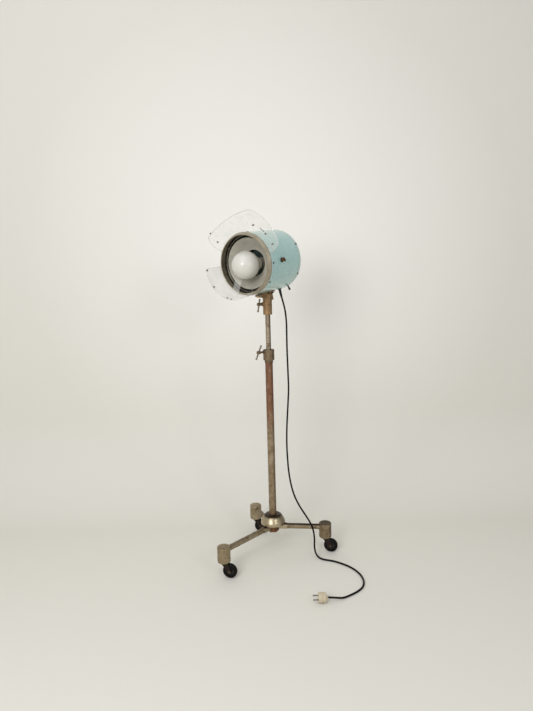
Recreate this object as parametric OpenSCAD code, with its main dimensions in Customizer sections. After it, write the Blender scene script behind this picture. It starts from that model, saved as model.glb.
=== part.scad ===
// Drum lamp with clear shields on a three-legged caster stand.
// Millimetres, +Z up. The floor is z = 0 and the lamp faces -Y, a little to the left.

/* [Placement] */
// Distance of the column axis from the origin along X
column_x = -14.9; // [-60:0.1:60]
// Distance of the column axis from the origin along Y
column_y = 3.7; // [-60:0.1:60]

/* [Stand] */
// Height of the leg axes at the hub
leg_height = 115; // [105:1:125]
// How much lower the legs are at the caster caps
leg_drop = 8; // [0:1:12]
// Outer radius of a leg
leg_r = 11; // [9:0.5:12]
// Distance from the column to the right caster
reach_right = 216; // [190:1:280]
// Distance from the column to the rear caster
reach_rear = 203; // [190:1:280]
// Distance from the column to the front left caster
reach_front = 268; // [190:1:290]
// Direction of the right leg, from +X
turn_right = -2; // [-10:1:10]
// Direction of the rear leg, from +X
turn_rear = 112; // [105:1:120]
// Direction of the front left leg, from +X
turn_front = 224; // [215:1:232]
// Largest radius of the domed hub
hub_r = 50; // [48:1:56]
// Radius of a caster cap
cap_r = 25.5; // [24:0.5:28]
// Height of a caster cap
cap_h = 61; // [56:1:68]

/* [Casters] */
// Radius of a wheel
wheel_r = 28.5; // [24:0.5:28.5]
// Width of a tyre
tyre_w = 17; // [14:1:18]
// Distance from the swivel axis to the wheel axle
trail = 23; // [18:1:24]
// Direction in which the wheels trail, from +X
trail_turn = -15; // [-180:5:180]
// Radius of the wheel axle
axle_r = 4; // [3:0.5:4.5]
// Radius of the swivel stem
stem_r = 5; // [4:0.5:6]

/* [Column] */
// Outer radius of the lower tube
lower_r = 15; // [14:0.5:16]
// Outer radius of the upper tube
upper_r = 10; // [9:0.5:11]
// Height of the underside of the collar
collar_z = 813.5; // [700:0.5:820]
// Height of the collar
collar_h = 42.5; // [36:0.5:50]
// Outer radius of the collar
collar_r = 22.2; // [20:0.2:26]
// Height of the lower end of the upper tube
upper_foot_z = 500; // [460:1:560]
// Direction of both clamp screws, from +X
clamp_turn = 215; // [180:5:240]

/* [Head] */
// Height of the lamp axis above the column
head_z = 1201.5; // [1190:0.5:1220]
// Turn of the lamp axis away from -Y
head_yaw = 35.5; // [25:0.5:45]
// Dip of the lamp axis below level
head_dip = 5; // [0:0.5:8]
// Outer radius of the drum
drum_r = 116; // [108:0.5:124]
// Distance from the column to the front edge of the drum
drum_front = 129; // [120:1:140]
// Distance from the column to the back of the rear cover
drum_back = 74.5; // [60:0.5:80]
// Radius of the front ring's mouth
ring_r = 107; // [104:0.5:110]
// Depth of the front ring ahead of the drum
ring_h = 16.5; // [12:0.5:22]
// Outer radius of the reflector
reflector_r = 95; // [90:0.5:98]
// Radius of the hole in the reflector
hole_r = 49; // [44:0.5:52]
// Radius of the globe bulb
globe_r = 52; // [44:0.5:54]

/* [Shields] */
// Thickness of the clear sheet
sheet_t = 3; // [2:0.5:4]
// Outer radius of the upper shield's left and top edge
upper_edge_r = 340; // [300:5:380]
// Outer radius of the upper shield's right edge
upper_side_r = 200; // [180:5:220]
// How far the lower shield reaches ahead of the drum
lower_reach = 90; // [70:1:100]

/* [Hidden] */
$fn = 64;

fit = 0.05;                 // radial clearance of a running fit
wall = 2;                   // wall of the legs and of the upper tube
lower_wall = 3;             // wall of the lower tube
hub_z = 128;                // underside of the hub's rim
hub_h = 40;                 // height of the hub above its rim's underside
spacer_r = 20;              // the spacer between the nut and the hub
lobe_z = 107;               // underside of the hub's lobes about the legs
foot_z = 96;                // lower end of the lower tube
nut_z = 94;
nut_r = 24.5;
nut_h = 10;
leg_start = spacer_r + 5;   // distance of a leg's inner end from the column axis
cap_top = leg_height - leg_drop + 17;
cap_z = cap_top - cap_h;
fork_top = cap_z - 0.6;
cheek_y = tyre_w / 2 + 0.8; // inner face of a fork cheek
cheek_t = 2.6;
core_r = 16;
upper_top_z = 1046;
socket_z = 994;
socket_r = 17.8;
socket_top = 1051;
tube_grip = 18;             // how far the lower tube goes into the collar
clamp_z = collar_z + 0.8 * collar_h;
bracket_clamp_z = 1036;
screw_r = 4;
collar_reach = 48;          // distance of the collar's tommy bar from the column axis
bracket_reach = 40;         // distance of the bracket's tommy bar from the column axis
bar_r = 3;
collar_lean = 32;           // lean of the collar's tommy bar from upright
bracket_lean = 16;          // lean of the bracket's tommy bar from upright
shell_t = 1.5;              // sheet metal of the drum
cover_depth = 20.5;
ring_back = 12;             // how far the front ring reaches into the drum
reflector_z = drum_front - 14;
hole_z = drum_front - 50;
globe_z = drum_front + 5;
neck_z = globe_z - globe_r + 6.5;
glass_t = 1.2;
holder_z = drum_front - 118;
key_z = 66;                 // place of the switch along the lamp axis
gland_z = -45;
gland_turn = 281;           // round the drum, counter-clockwise from its right side
thumb_turn = 297;
cover_screw_z = -60;
cover_screw_turns = [29, 119, 209, 331];
ring_screw_turns = [0, 84, 324];
shield_screw_turns = [200, 245, 290];
lip = 9;                   // how far the drum's lip reaches into the rear cover
saddle_back = -10;          // back end of the bracket's saddle, along the lamp axis
saddle_l = 62;
bulb_drop = 4;              // how far the bulb and its holder sit below the lamp axis
rivet_ring = 147;           // distance of the upper shield's rivets from the lamp axis
rivet_r = 1.8;
upper_rise = 0.27;       // slope of the upper shield's cone
shield_gap = 0.4;
cord_r = 3.5;
cord_sides = 8;
cord_steps = 2;             // rings for each stretch between two route points
plug_r = 18.5;
plug_front = 151.5;         // from the column to the plug's face
plug_y = -369;
plug_length = 34;
plug_roll = 16;
pin_spacing = 19;
pin_root_r = 1.9;

legs = [[reach_right, turn_right], [reach_rear, turn_rear], [reach_front, turn_front]];

// The cord hangs from the gland, passes in front of the right leg and lies on the floor.
// Its points are measured from the foot of the column.
cord_route = [[50, 31.7, 1091], [51.6, 31.6, 1083], [57, 32.5, 1060], [64, 32, 1033],
              [70.5, 30.5, 1000], [74, 29, 955], [74, 27, 910], [74, 24, 850], [75, 21, 795],
              [76, 18, 740], [76.5, 15, 690], [73, 11, 635], [69, 7, 580], [65.5, 3, 525],
              [64, -2, 465], [65.5, -7, 410], [69, -11, 355], [77, -16, 300], [90, -22, 252],
              [110, -28, 209], [134, -33, 170], [153, -37, 137], [164, -40, 105], [167.5, -43, 72],
              [167, -50, 38], [172, -61, 16], [185, -75, 5.5], [205, -88, 4.2], [235, -99, 4],
              [263, -117, 4], [290, -140, 4], [313, -170, 4], [329, -208, 4], [333, -248, 4],
              [324, -284, 4], [302, -312, 4], [270, -336, 4], [240, -355, 6.5], [213, -366, 14.5],
              [185.5, -369, 18.5]];
split_at = 8;               // the route point where the upper cord meets the lower cord

// ---- places ----

module at_column(z = 0) translate([column_x, column_y, z]) children();

// Leg i's own frame: X runs along the leg, from the column axis outwards
module on_leg(i) at_column(leg_height) rotate([0, 0, legs[i][1]])
    rotate([0, atan(leg_drop / legs[i][0]), 0]) children();

// Caster i's swivel frame: Z is the swivel axis from the floor, X is the trail
module on_caster(i)
    translate([column_x + legs[i][0] * cos(legs[i][1]), column_y + legs[i][0] * sin(legs[i][1]), 0])
    rotate([0, 0, trail_turn]) children();

// The lamp's frame: Z forwards along the lamp axis, X to its right, Y up
module on_lamp(z = 0) at_column(head_z) rotate([0, 0, -head_yaw]) rotate([90 + head_dip, 0, 0])
    translate([0, 0, z]) children();

// The bulb's frame, a little below the lamp's
module on_bulb(z = 0) on_lamp(z) translate([0, -bulb_drop, 0]) children();

// A place on the drum's skin: X points out of the drum
module on_skin(turn, z, r = drum_r) on_lamp(z) rotate([0, 0, turn]) translate([r, 0, 0]) children();

// A clamp screw's frame: X runs out along the screw
module on_clamp(z) at_column(z) rotate([0, 0, clamp_turn]) children();

// ---- shapes ----

module tube(r, bore, h) difference() {
    cylinder(r = r, h = h);
    translate([0, 0, -1]) cylinder(r = bore, h = h + 2);
}

// Profile of a solid cylinder with rounded edges
module round_profile(r, h, edge) {
    square([r - edge, h]);
    translate([0, edge]) square([r, h - 2 * edge]);
    translate([r - edge, edge]) circle(r = edge, $fn = 32);
    translate([r - edge, h - edge]) circle(r = edge, $fn = 32);
}

module rod_x(r, x0, x1) translate([x0, 0, 0]) rotate([0, 90, 0]) cylinder(r = r, h = x1 - x0);

// ---- base ----

module base_hub() color("darkkhaki") difference() {
    union() {
        at_column(hub_z) rotate_extrude()
            polygon([[0, 0], [hub_r - 1, 0], [hub_r, 1], [hub_r, 8], [48.5, 13], [45.5, 19], [42, 25],
                     [39.5, 30], [36.5, 34], [32, 37.5], [27, hub_h], [0, hub_h]]);
        for (i = [0:2]) on_leg(i) intersection() {
            union() {
                rod_x(13, leg_start, 57);
                translate([leg_start, -13, 0]) cube([22, 26, 20]);
            }
            translate([0, -20, lobe_z - leg_height]) cube([80, 40, 30]);
        }
    }
    at_column() cylinder(r = lower_r, h = 300);
    for (i = [0:2]) on_leg(i) {
        rod_x(leg_r, leg_start, 100);
        translate([42, 0, leg_r]) cylinder(r = 3, h = 40);
    }
}

module base_nut() color("saddlebrown") difference() {
    at_column(nut_z) cylinder(r = nut_r, h = nut_h, $fn = 6);
    at_column(foot_z) cylinder(r = lower_r, h = 40);
}

module base_spacer() color("peru") at_column(nut_z + nut_h) tube(spacer_r, lower_r, hub_z - nut_z - nut_h);

module leg(i) color("gray") on_leg(i) difference() {
    rod_x(leg_r, leg_start, legs[i][0] - 8);
    rod_x(leg_r - wall, leg_start - 1, legs[i][0]);
}
module leg_right() leg(0);
module leg_rear() leg(1);
module leg_front_left() leg(2);

module leg_set_screws() color("dimgray") for (i = [0:2]) on_leg(i)
    translate([42, 0, leg_r + 0.1]) cylinder(r = 3, h = 14);

module cap(i) color("silver") difference() {
    on_caster(i) translate([0, 0, cap_z]) rotate_extrude() round_profile(cap_r, cap_h, 3);
    on_leg(i) rod_x(leg_r, 50, legs[i][0] - 8);
    on_caster(i) translate([0, 0, cap_z - 1]) cylinder(r = stem_r + fit, h = 29);
}
module cap_right() cap(0);
module cap_rear() cap(1);
module cap_front_left() cap(2);

// ---- casters ----

module caster_fork(i) color("saddlebrown") on_caster(i) {
    translate([0, 0, fork_top - 1]) cylinder(r = stem_r, h = 27);
    translate([0, 0, fork_top - 1]) cylinder(r = 11, h = 1.4);
    translate([-9, -cheek_y - cheek_t, fork_top - 3.6])
        cube([24, 2 * (cheek_y + cheek_t), 3.6]);
    for (side = [-1, 1]) difference() {
        translate([0, side * (cheek_y + cheek_t / 2) + cheek_t / 2, 0]) rotate([90, 0, 0])
            linear_extrude(cheek_t) polygon([[-9, fork_top], [15, fork_top], [31, 31], [31, 24],
                                             [27, 20], [19, 20], [15, 24], [12, 34], [-9, fork_top - 4]]);
        translate([trail, 40, wheel_r]) rotate([90, 0, 0]) cylinder(r = axle_r, h = 80);
    }
}
module caster_fork_right() caster_fork(0);
module caster_fork_rear() caster_fork(1);
module caster_fork_front_left() caster_fork(2);

module caster_axle(i) color("gray") on_caster(i) translate([trail, 0, wheel_r]) rotate([90, 0, 0]) {
    translate([0, 0, -cheek_y - cheek_t]) cylinder(r = axle_r, h = 2 * (cheek_y + cheek_t));
    for (side = [0, 1]) mirror([0, 0, side]) translate([0, 0, cheek_y + cheek_t]) cylinder(r = 6, h = 1.6);
}
module caster_axle_right() caster_axle(0);
module caster_axle_rear() caster_axle(1);
module caster_axle_front_left() caster_axle(2);

module wheel_core(i) color("black") on_caster(i) translate([trail, 0, wheel_r]) rotate([90, 0, 0])
    rotate_extrude() {
        translate([axle_r + fit, -tyre_w / 2]) square([4, tyre_w]);
        translate([axle_r + fit, -4]) square([core_r - axle_r - fit, 8]);
        translate([core_r - 3, -6]) square([3, 12]);
    }
module wheel_core_right() wheel_core(0);
module wheel_core_rear() wheel_core(1);
module wheel_core_front_left() wheel_core(2);

module tyre(i) color("black") on_caster(i) translate([trail, 0, wheel_r]) rotate([90, 0, 0])
    rotate_extrude() intersection() {
        translate([core_r, -tyre_w / 2]) square([wheel_r, tyre_w]);
        union() {
            translate([0, -tyre_w / 2]) square([wheel_r - 6, tyre_w]);
            translate([0, 6 - tyre_w / 2]) square([wheel_r, tyre_w - 12]);
            for (side = [-1, 1]) translate([wheel_r - 6, side * (tyre_w / 2 - 6)]) circle(r = 6);
        }
    }
module tyre_right() tyre(0);
module tyre_rear() tyre(1);
module tyre_front_left() tyre(2);

// ---- column ----

module lower_tube() color("sienna") at_column(foot_z)
    tube(lower_r, lower_r - lower_wall, collar_z + tube_grip - foot_z);

module tube_bush() color("peru") at_column(collar_z - 10.5) tube(17, lower_r, 10.5);

module height_collar() color("tan") difference() {
    union() {
        at_column(collar_z) rotate_extrude() round_profile(collar_r, collar_h, 2);
        on_clamp(clamp_z) rod_x(6.5, 10, 27);
    }
    at_column(collar_z - 1) cylinder(r = lower_r, h = tube_grip + 1);
    at_column(collar_z) cylinder(r = upper_r + fit, h = 60);
    on_clamp(clamp_z) rod_x(screw_r + fit, 5, 40);
}

module clamp_screw(z, reach) on_clamp(z) {
    rod_x(screw_r, upper_r + 0.5, reach);
    rod_x(6.5, reach - 6, reach + 6);
}

// A tommy bar's frame: Z runs along the bar from the screw's axis, leaning from upright
module on_bar(z, reach, lean) on_clamp(z) translate([reach, 0, 0]) rotate([-lean, 0, 0]) children();

module tommy_hole(z, reach, lean) on_bar(z, reach, lean) translate([0, 0, -20]) cylinder(r = bar_r, h = 40);

module tommy_bar(z, reach, lean, low, high) on_bar(z, reach, lean) {
    translate([0, 0, low]) cylinder(r = bar_r, h = high - low);
    for (end = [low, high]) translate([0, 0, end]) sphere(r = 4.2, $fn = 32);
}

module collar_screw() color("darkkhaki") difference() {
    clamp_screw(clamp_z, collar_reach);
    tommy_hole(clamp_z, collar_reach, collar_lean);
}
module collar_tommy_bar() color("gray") 
    tommy_bar(clamp_z, collar_reach, collar_lean, -32, 32);

module upper_tube() color("silver") at_column(upper_foot_z)
    tube(upper_r, upper_r - wall, upper_top_z - upper_foot_z);

module guide_bush() color("goldenrod") at_column(upper_foot_z)
    tube(lower_r - lower_wall - fit, upper_r, 20);

// ---- head bracket ----

module head_bracket() color("saddlebrown") difference() {
    union() {
        at_column(socket_z) cylinder(r = socket_r, h = socket_top - socket_z);
        at_column(socket_top) cylinder(r1 = socket_r, r2 = 24, h = 45);
        on_clamp(bracket_clamp_z) rod_x(8, 12, 27);
        on_lamp() intersection() {
            translate([0, 0, saddle_back]) cylinder(r1 = drum_r + 6, r2 = drum_r + 3, h = saddle_l);
            rotate([90, 0, 0]) linear_extrude(drum_r + 30)
                polygon([[-24, saddle_back], [24, saddle_back], [34, 18], [20, saddle_back + saddle_l],
                         [-20, saddle_back + saddle_l], [-34, 18]]);
        }
        on_lamp() translate([-12, 0, 0]) rotate([0, 90, 0]) linear_extrude(24)
            polygon([[9, -drum_r + 4], [-50, -drum_r + 4], [-52, -drum_r - 1], [-78, -drum_r - 8],
                     [-78, -drum_r - 11], [-64, -drum_r - 18], [-36, -drum_r - 20], [-15, -drum_r - 36],
                     [15, -drum_r - 36], [9, -drum_r - 8]]);
    }
    on_lamp(-60) cylinder(r = drum_r + 0.02, h = 200);
    at_column(socket_z - 1) cylinder(r = upper_r + fit, h = upper_top_z + 1.1 - socket_z);
    on_clamp(bracket_clamp_z) rod_x(screw_r + fit, 5, 40);
    saddle_bolt_holes();
}

// Four bolts hold the drum to the saddle
module at_saddle_bolts() for (z = [14, 39], turn = [-13, 13]) on_skin(270 + turn, z) children();
module saddle_bolt_holes() at_saddle_bolts() rod_x(3, -10, 30);

module bracket_screw() color("darkkhaki") difference() {
    clamp_screw(bracket_clamp_z, bracket_reach);
    tommy_hole(bracket_clamp_z, bracket_reach, bracket_lean);
}
module bracket_tommy_bar() color("gray") 
    tommy_bar(bracket_clamp_z, bracket_reach, bracket_lean, -28, 18);

module saddle_bolts() color("dimgray") at_saddle_bolts() {
    rod_x(3, -6, 10);
    rod_x(5.5, 7.2, 11);
    rod_x(5.5, -shell_t - 4, -shell_t - 0.2);
}

// ---- drum ----

module drum_shell() color("lightblue") difference() {
    on_lamp(-drum_back + cover_depth) rotate_extrude() {
        translate([drum_r - shell_t, 0]) square([shell_t, drum_front + drum_back - cover_depth]);
        translate([drum_r - 1.6, drum_front + drum_back - cover_depth - 1.6]) circle(r = 1.6, $fn = 24);
        translate([drum_r - 3.2, -lip]) square([shell_t, lip + 5]);
        translate([drum_r - 3.2, 0]) square([2.5, 5]);
    }
    cover_holes();
    saddle_bolt_holes();
    on_skin(3, key_z) rod_x(6, -10, 10);
    on_skin(gland_turn, gland_z) rod_x(6, -10, 10);
    ring_screw_holes();
}

// Holes in the rear cover and in the drum's lip inside it
module cover_holes() {
    on_skin(thumb_turn, cover_screw_z) rod_x(3, -10, 10);
    for (turn = cover_screw_turns) on_skin(turn, cover_screw_z) rod_x(2, -10, 10);
}

module rear_cover() color("lightblue") difference() {
    on_lamp(-drum_back) rotate_extrude() difference() {
        intersection() {
            round_profile(drum_r, 2 * cover_depth, 12);
            square([drum_r, cover_depth - 0.2]);
        }
        translate([0, shell_t]) intersection() {
            round_profile(drum_r - shell_t, 2 * cover_depth, 10.5);
            square([drum_r - shell_t, cover_depth]);
        }
    }
    for (i = [0:11]) on_lamp(-drum_back - 1) rotate([0, 0, 30 * i]) translate([60, 0, 0]) cylinder(r = 5, h = 4);
    cover_holes();
}

module rear_cover_screws() color("dimgray") for (turn = cover_screw_turns)
    on_skin(turn, cover_screw_z) {
        rod_x(2, -6, 0.2);
        rod_x(3.6, 0.2, 2);
    }

module rear_thumb_screw() color("black") on_skin(thumb_turn, cover_screw_z) {
    rod_x(3, -8, 10);
    rod_x(4.2, 9, 18);
}

module front_ring() color("tan") difference() {
    on_lamp(drum_front) rotate_extrude() {
        polygon([[drum_r, 3.4], [ring_r + 1.5, ring_h], [ring_r, ring_h], [ring_r, ring_h - 2],
                 [drum_r - 4.6, 3.4], [drum_r - 4.6, -ring_back], [drum_r - 3.4, -ring_back],
                 [drum_r - 3.4, 3.4]]);
        translate([ring_r, ring_h - 1.6]) circle(r = 1.6, $fn = 24);
    }
    ring_screw_holes();
}

// Screws go through the drum into the ring, and three of them hold the lower shield too
module ring_screw_holes() for (turn = concat(ring_screw_turns, shield_screw_turns))
    on_skin(turn, drum_front - 8) rod_x(2, -10, 10);

module ring_screw(grip) {
    rod_x(2, -7, grip);
    rod_x(3.4, grip, grip + 1.6);
}
module ring_screws() color("dimgray") {
    for (turn = ring_screw_turns) on_skin(turn, drum_front - 8) ring_screw(0.2);
    for (turn = shield_screw_turns) on_skin(turn, drum_front - 8) ring_screw(shield_gap + sheet_t + 0.4);
}

module retaining_ring() color("silver") on_lamp(drum_front - 20) rotate_extrude()
    translate([106, 0]) circle(r = 2.2, $fn = 24);

module reflector() color("whitesmoke") on_lamp(hole_z) rotate_extrude() difference() {
    dish = reflector_z - hole_z;
    polygon([for (k = [0:8]) [hole_r + (reflector_r - hole_r) * k / 8, dish * pow(k / 8, 1.7)],
             for (k = [8:-1:0]) [hole_r + (reflector_r - hole_r) * k / 8, dish * pow(k / 8, 1.7) - 1.6]]);
}

// Three tabs on the drum's wall carry the reflector and the retaining ring
module reflector_posts() color("silver") on_lamp(drum_front - 24.4) intersection() {
    cylinder(r = drum_r - shell_t, h = 2);
    for (turn = [30, 150, 270]) rotate([0, 0, turn]) translate([90, -4, 0]) cube([30, 8, 2]);
}

// ---- lamp ----

module lamp_holder() color("ivory") on_bulb(holder_z) difference() {
    rotate_extrude() round_profile(23, 54, 4);
    translate([0, 0, 14]) cylinder(r = 15, h = 60);
}

module holder_shell() color("gold") on_bulb(holder_z + 16) tube(15 - fit, 13.4, 30);

module holder_bracket() color("silver") on_lamp(holder_z - 3) {
    difference() {
        translate([-drum_r + 12, -9, 0]) cube([2 * drum_r - 24, 18, 3]);
        translate([0, 0, -1]) cylinder(r = 4, h = 6);
    }
    for (side = [-1, 1]) intersection() {
        translate([side * (drum_r - 7) - 6, -9, -6]) cube([12, 18, 9]);
        translate([0, 0, -7]) cylinder(r = drum_r - shell_t, h = 20);
    }
}

module bulb_globe() color("white") on_bulb() rotate_extrude() difference() {
    union() {
        intersection() {
            translate([0, globe_z]) circle(r = globe_r, $fn = 96);
            translate([0, globe_z - globe_r]) square([globe_r, 2 * globe_r]);
        }
        polygon([[0, drum_front - 64], [13, drum_front - 64], [16, drum_front - 50],
                 [24, neck_z], [0, neck_z]]);
    }
    translate([0, globe_z]) circle(r = globe_r - glass_t, $fn = 96);
    translate([0, drum_front - 65]) square([11, 40]);
}

module bulb_cap() color("silver") on_bulb(drum_front - 92) {
    cylinder(r = 13.2, h = 28);
    translate([0, 0, -3]) cylinder(r = 5, h = 3);
}

module terminal_block() color("ivory") on_lamp(-drum_back + shell_t) translate([-18, -74, 0]) cube([36, 16, 15]);

// Two wires run from the terminal block to the back of the lamp holder
module inner_wires() color("black") on_lamp() for (side = [-1, 1]) translate([9 * side, 0, 0]) {
    translate([0, -66, -drum_back + shell_t + 15]) cylinder(r = 1.5, h = drum_back - shell_t - 15);
    translate([0, -66, 0]) sphere(r = 1.5, $fn = 24);
    translate([0, -66, 0]) rotate([-90, 0, 0]) cylinder(r = 1.5, h = 52);
    translate([0, -14, 0]) sphere(r = 1.5, $fn = 24);
    translate([0, -14, 0]) cylinder(r = 1.5, h = holder_z);
}

module switch_body() color("black") on_skin(3, key_z) {
    translate([-30.3, -11, -14]) cube([28, 22, 28]);
    rod_x(6, -3, 2);
    rod_x(9, 0.4, 2.6);
}

module switch_key() color("peru") on_skin(3, key_z) {
    rod_x(6, 2.8, 9);
    rotate([40, 0, 0]) translate([0, 0, -1.8]) linear_extrude(3.6)
        polygon([[7, -5], [7, 5], [13, 11], [16, 9.5], [16, -6], [13, -8]]);
}

// ---- shields ----

// The cone that the upper shield is bent to, and its outline seen along the lamp axis
module upper_shield() color([0.85, 0.9, 0.9, 0.4]) difference() {
    on_lamp(drum_front + 0.2) intersection() {
        rotate([0, 0, 18]) rotate_extrude(angle = 137) polygon([
            [drum_r - 3, 0], [drum_r + 2, 0], [drum_r + 90, 88 * upper_rise],
            [drum_r + 90, 88 * upper_rise + sheet_t], [drum_r + 2, sheet_t], [drum_r - 3, sheet_t]]);
        translate([0, 0, -5]) linear_extrude(60) intersection() {
            translate([73, -148]) circle(r = upper_edge_r, $fn = 128);
            translate([-27, 8]) circle(r = upper_side_r, $fn = 128);
            translate([-250, 36]) square([500, 250]);
        }
    }
    at_upper_rivets() cylinder(r = rivet_r, h = 10, center = true);
}

// Rivet places on the upper shield's back, with Z square to the sheet
module at_upper_rivets() for (turn = [27, 45, 69, 144]) on_lamp(drum_front + 0.2) rotate([0, 0, turn])
    translate([rivet_ring, 0, (rivet_ring - drum_r - 2) * upper_rise]) rotate([0, -atan(upper_rise), 0]) children();

// Rivet places on the inside of the lower shield's front edge, with Z square to the sheet
module at_lower_rivets() for (turn = [186, 218, 253, 262, 300]) on_lamp(drum_front + lower_reach - 6)
    rotate([0, 0, turn]) translate([drum_r + shield_gap + 2.3, 0, 0]) rotate([0, 90, 0]) children();

// A rivet through a sheet that starts at z = 0
module rivet() {
    cylinder(r = rivet_r, h = sheet_t);
    translate([0, 0, -1.2]) cylinder(r = 3.2, h = 1.1);
    translate([0, 0, -1]) cylinder(r = rivet_r, h = sheet_t + 2);
    translate([0, 0, sheet_t + 0.1]) cylinder(r = 3.2, h = 1.1);
}

module upper_shield_rivets() color("black") at_upper_rivets() rivet();

module lower_shield() color([0.85, 0.9, 0.9, 0.4]) difference() {
    on_lamp(drum_front) rotate([0, 0, 183]) rotate_extrude(angle = 123) polygon([
        [drum_r + shield_gap, -14], [drum_r + shield_gap + 2.4, lower_reach],
        [drum_r + shield_gap + 2.4 + sheet_t, lower_reach], [drum_r + shield_gap + sheet_t, -14]]);
    ring_screw_holes();
    at_lower_rivets() cylinder(r = rivet_r, h = 10, center = true);
}

module lower_shield_rivets() color("black") at_lower_rivets() rivet();

// ---- cord ----

module cord_gland() color("black") on_skin(gland_turn, gland_z) difference() {
    union() {
        rod_x(6, -shell_t - 3, 0.1);
        rod_x(8, 0.1, 3);
        rod_x(5, 3, 9);
    }
    rod_x(cord_r + 0.3, -10, 20);
}

// Catmull-Rom spline through the route, at u stretches from the first point
function spot(u) = let (
    n = len(cord_route) - 1,
    i = min(floor(u), n - 1),
    f = u - i,
    p = cord_route[i],
    q = cord_route[i + 1],
    a = i > 0 ? cord_route[i - 1] : 2 * p - q,
    b = i < n - 1 ? cord_route[i + 2] : 2 * q - p)
    [column_x, column_y, 0] + 0.5 * (2 * p + (q - a) * f + (2 * a - 5 * p + 4 * q - b) * f * f + (3 * p - a - 3 * q + b) * f * f * f);
function unit(v) = v / norm(v);
function heading(u) = unit(spot(min(u + 0.05, len(cord_route) - 1)) - spot(max(u - 0.05, 0)));
function ring(u) = let (h = heading(u), s = unit(cross(h, [0.28, 0.93, 0.24])), t = cross(h, s))
    [for (k = [0:cord_sides - 1]) spot(u) + cord_r * (cos(360 * k / cord_sides) * s + sin(360 * k / cord_sides) * t)];

module cord_tube(first, last) {
    rings = (last - first) * cord_steps;
    points = [for (j = [0:rings]) each ring(first + j / cord_steps)];
    m = cord_sides;
    polyhedron(points = points, faces = concat(
        [[for (k = [0:m - 1]) k]],
        [for (j = [0:rings - 1], k = [0:m - 1])
            [j * m + k, (j + 1) * m + k, (j + 1) * m + (k + 1) % m, j * m + (k + 1) % m]],
        [[for (k = [m - 1:-1:0]) rings * m + k]]));
}

module cord_upper() color("black") cord_tube(0, split_at);
module cord_lower() color("black") cord_tube(split_at, len(cord_route) - 1);

module at_plug() at_column() translate([plug_front, plug_y, plug_r]) rotate([plug_roll, 0, 0]) children();

module plug_body() color("ivory") at_plug() difference() {
    rotate([0, 90, 0]) rotate_extrude() {
        round_profile(plug_r, plug_length - 8, 3);
        polygon([[0, plug_length - 12], [plug_r - 3, plug_length - 10], [7, plug_length], [0, plug_length]]);
    }
    for (side = [-1, 1]) translate([0, pin_spacing / 2 * side, 0]) rod_x(pin_root_r, -1, 9);
}

// A pin's root inside the plug is thinner than the pin
module plug_pins() color("silver") at_plug() for (side = [-1, 1]) translate([0, pin_spacing / 2 * side, 0]) {
    rod_x(2.4, -19, 0);
    rod_x(pin_root_r, -1, 9);
}

base_hub();
base_nut();
base_spacer();
leg_right();
leg_rear();
leg_front_left();
leg_set_screws();
cap_right();
cap_rear();
cap_front_left();
caster_fork_right();
caster_fork_rear();
caster_fork_front_left();
caster_axle_right();
caster_axle_rear();
caster_axle_front_left();
wheel_core_right();
wheel_core_rear();
wheel_core_front_left();
tyre_right();
tyre_rear();
tyre_front_left();
lower_tube();
tube_bush();
height_collar();
collar_screw();
collar_tommy_bar();
upper_tube();
guide_bush();
head_bracket();
bracket_screw();
bracket_tommy_bar();
saddle_bolts();
drum_shell();
rear_cover();
rear_cover_screws();
rear_thumb_screw();
front_ring();
ring_screws();
retaining_ring();
reflector();
reflector_posts();
lamp_holder();
holder_shell();
holder_bracket();
bulb_globe();
bulb_cap();
terminal_block();
inner_wires();
switch_body();
switch_key();
upper_shield();
upper_shield_rivets();
lower_shield();
lower_shield_rivets();
cord_gland();
cord_upper();
cord_lower();
plug_body();
plug_pins();
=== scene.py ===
"""The looks of the drum lamp on its caster stand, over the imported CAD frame. Lengths are metres."""
import math

import bmesh
import bpy
from mathutils import Matrix, Vector


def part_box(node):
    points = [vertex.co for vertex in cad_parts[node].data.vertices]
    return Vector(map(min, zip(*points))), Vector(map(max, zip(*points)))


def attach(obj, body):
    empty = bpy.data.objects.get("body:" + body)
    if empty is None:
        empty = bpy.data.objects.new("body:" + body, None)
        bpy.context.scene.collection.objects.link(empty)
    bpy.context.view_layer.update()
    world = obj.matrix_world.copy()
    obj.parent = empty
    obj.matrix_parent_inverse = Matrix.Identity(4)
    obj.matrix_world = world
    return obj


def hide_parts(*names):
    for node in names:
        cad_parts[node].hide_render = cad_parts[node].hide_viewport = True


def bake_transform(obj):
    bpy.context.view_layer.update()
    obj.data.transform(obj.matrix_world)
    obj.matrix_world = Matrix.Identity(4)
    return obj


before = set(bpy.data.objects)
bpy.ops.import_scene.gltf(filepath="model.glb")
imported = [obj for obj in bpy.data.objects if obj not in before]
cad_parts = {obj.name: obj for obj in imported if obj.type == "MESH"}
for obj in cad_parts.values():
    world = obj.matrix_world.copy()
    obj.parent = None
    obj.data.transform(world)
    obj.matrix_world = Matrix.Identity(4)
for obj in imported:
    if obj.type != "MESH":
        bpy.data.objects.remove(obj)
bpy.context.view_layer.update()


# ---- places, from the frame and the CAD's driving sizes ----

def middle(node):
    low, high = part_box(node)
    return (Vector(low) + Vector(high)) / 2


COLUMN = Vector((middle("upper_tube").x, middle("upper_tube").y, 0))
HEAD_Z = 1.2015
HEAD_YAW = math.radians(35.5)
HEAD_DIP = math.radians(5)
DRUM_R = 0.116
DRUM_FRONT = 0.129
SEAM = -0.054
SHEET = 0.003

# The lamp's frame: Z forwards along the lamp axis, X to its right, Y up
LAMP = (
    Matrix.Translation(COLUMN + Vector((0, 0, HEAD_Z)))
    @ Matrix.Rotation(-HEAD_YAW, 4, "Z")
    @ Matrix.Rotation(math.pi / 2 + HEAD_DIP, 4, "X")
)
LAMP_AXIS = LAMP.to_3x3() @ Vector((0, 0, 1))


# ---- camera ----

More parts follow.
